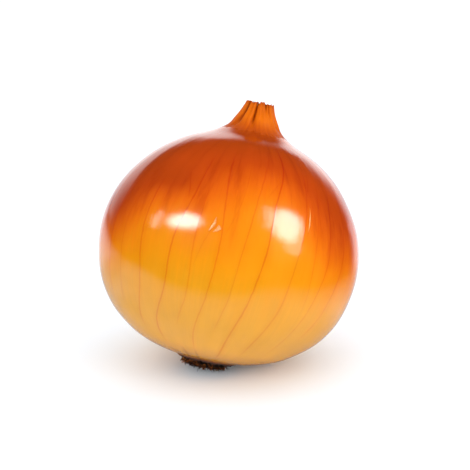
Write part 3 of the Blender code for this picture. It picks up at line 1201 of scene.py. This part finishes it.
def sheet_shadow(tree, place, parts):
    """How much dimmer reflections find the sheet: a strip behind the onion, and a pool round it."""
    strip = multiplied(tree, *[ease(tree, parts["Y"], *edge) for edge in SHADOW_BEHIND])
    middle = SHADOW_ROUND["middle"]
    away = node(tree, "ShaderNodeVectorMath", {0: place, 1: middle}, operation="DISTANCE").outputs["Value"]
    pool = ease(tree, away, *SHADOW_ROUND["reach"])
    pool = multiplied(tree, pool, ease(tree, parts["Y"], *SHADOW_ROUND["from"]))
    return multiplied(tree, maths(tree, "MAXIMUM", strip, pool), SHEET_SHADOW)


def sheet_shown(tree):
    """How brightly reflections find the sheet at each place, from 0 to 1."""
    place = node(tree, "ShaderNodeTexCoord").outputs["Object"]
    parts = node(tree, "ShaderNodeSeparateXYZ", {0: place}).outputs
    behind, wider = SHEET_WIDER
    beyond = maths(tree, "MAXIMUM", maths(tree, "SUBTRACT", parts["Y"], behind), 0.0)
    right = maths(tree, "SUBTRACT", parts["X"], multiplied(tree, beyond, wider))
    return multiplied(
        tree,
        ease(tree, parts["Y"], *SHEET_SHOWN["front"]),
        ease(tree, parts["X"], *SHEET_SHOWN["left"]),
        ease(tree, right, *SHEET_SHOWN["right"]),
        maths(tree, "SUBTRACT", 1.0, sheet_shadow(tree, place, parts)),
    )


def sheet_material():
    """Plain white and matt. Reflections see only its lit middle."""
    material, tree, surface = new_material("white_sheet")
    surface.inputs["Base Color"].default_value = SHEET_COLOUR
    surface.inputs["Roughness"].default_value = 0.9
    surface.inputs["Specular IOR Level"].default_value = 0.1
    paths = node(tree, "ShaderNodeLightPath").outputs
    hidden = multiplied(tree, paths["Is Glossy Ray"], maths(tree, "SUBTRACT", 1.0, sheet_shown(tree)))
    dark = node(tree, "ShaderNodeBsdfDiffuse", {"Color": SHEET_DARK}).outputs[0]
    mixed = node(tree, "ShaderNodeMixShader", {0: hidden, 1: surface.outputs[0], 2: dark}).outputs[0]
    lift = multiplied(tree, paths["Is Camera Ray"], SHEET_LIFT)
    lift = node(tree, "ShaderNodeEmission", {"Strength": lift}).outputs[0]
    shown = node(tree, "ShaderNodeAddShader", {0: mixed, 1: lift}).outputs[0]
    tree.links.new(shown, tree.nodes["Material Output"].inputs["Surface"])
    return material


def add_sheet():
    """The plain white sheet that the onion lies on."""
    (left, front), (right, back) = SHEET
    shape = bmesh.new()
    bmesh.ops.create_grid(shape, x_segments=1, y_segments=1, size=0.5)
    bmesh.ops.scale(shape, vec=(right - left, back - front, 1.0), verts=shape.verts)
    bmesh.ops.translate(shape, vec=((left + right) / 2, (front + back) / 2, 0.0), verts=shape.verts)
    mesh = bpy.data.meshes.new("white_sheet")
    shape.to_mesh(mesh)
    shape.free()
    mesh.materials.append(sheet_material())
    sheet = bpy.data.objects.new("white_sheet", mesh)
    bpy.context.scene.collection.objects.link(sheet)


def add_camera():
    low, high = CAD_BOX
    aim = (low + high) / 2 + Vector((VIEW_ASIDE, 0.0, 0.0))
    camera = bpy.data.cameras.new("camera")
    camera.sensor_width = SENSOR
    camera.lens = SENSOR * VIEW_DISTANCE / VIEW_WIDTH
    seen_from = bpy.data.objects.new("camera", camera)
    seen_from.location = aim - LOOKS * VIEW_DISTANCE
    seen_from.rotation_euler = LOOKS.to_track_quat("-Z", "Y").to_euler()
    bpy.context.scene.collection.objects.link(seen_from)
    bpy.context.scene.camera = seen_from


# ---- The onion ---------------------------------------------------------------------------------------


def thicken(piece, thickness):
    wall = piece.modifiers.new("thickness", "SOLIDIFY")
    wall.thickness = thickness
    wall.offset = 0.0


def add_skin(skin, stance, groups):
    """The globe and neck, glossy on the globe and dry at the neck, and the flecks lifted off them."""
    settle(skin, stance)
    glossy = skin_material("glossy_skin", stance, groups, gloss=0.5, roughness=0.125)
    globe = finish_piece(skin, "onion_skin", glossy, node="bulb")
    globe.data.materials.append(skin_material("dry_neck_skin", stance, groups, gloss=0.04, roughness=0.45))
    flecks = make_flecks()
    settle(flecks, stance)
    finish = papery_material("skin_fleck", stance, groups, FLECK_COLOURS, FLECK_SPAN, 0.25)
    thicken(finish_piece(flecks, "skin_flecks", finish), SHEATH_THICKNESS / 2)


def add_sheaths(stance, groups):
    """The dried leaf sheaths inside the neck."""
    _, low, high, _ = NECK_SHEATHS["neck_sheath_outer"]
    finish = papery_material("neck_sheath", stance, groups, SHEATH_COLOURS, (low, high), 0.6)
    for seed, (name, sizes) in enumerate(NECK_SHEATHS.items()):
        sheath = make_neck_sheath(*sizes, seed)
        settle(sheath, stance)
        thicken(finish_piece(sheath, name, finish), SHEATH_THICKNESS)


def add_base(stance, groups):
    """The torn hem of the skin, the root disc inside it and the dry roots under that."""
    hem = make_hem()
    settle(hem, stance)
    span = (HEM_LINE[-1][1], HEM_LINE[0][1])
    finish = papery_material("torn_hem", stance, groups, HEM_COLOURS, span, 0.5)
    thicken(finish_piece(hem, "torn_hem", finish), HEM_THICKNESS)
    disc = make_root_disc()
    settle(disc, stance)
    dry_root = root_material("dry_root")
    finish_piece(disc, "root_disc", dry_root, node="root_plate")
    finish_piece(make_roots(stance), "dry_roots", dry_root)


def main():
    bpy.context.scene.view_settings.view_transform = "Standard"
    skin = make_skin()
    stance = find_stance(skin)
    groups = {"fibres": fibre_group(), "veins": vein_group()}
    add_skin(skin, stance, groups)
    add_sheaths(stance, groups)
    add_base(stance, groups)
    add_sheet()
    add_world()
    for name, settings in BOXES.items():
        add_soft_box(name, *settings)
    add_camera()


main()
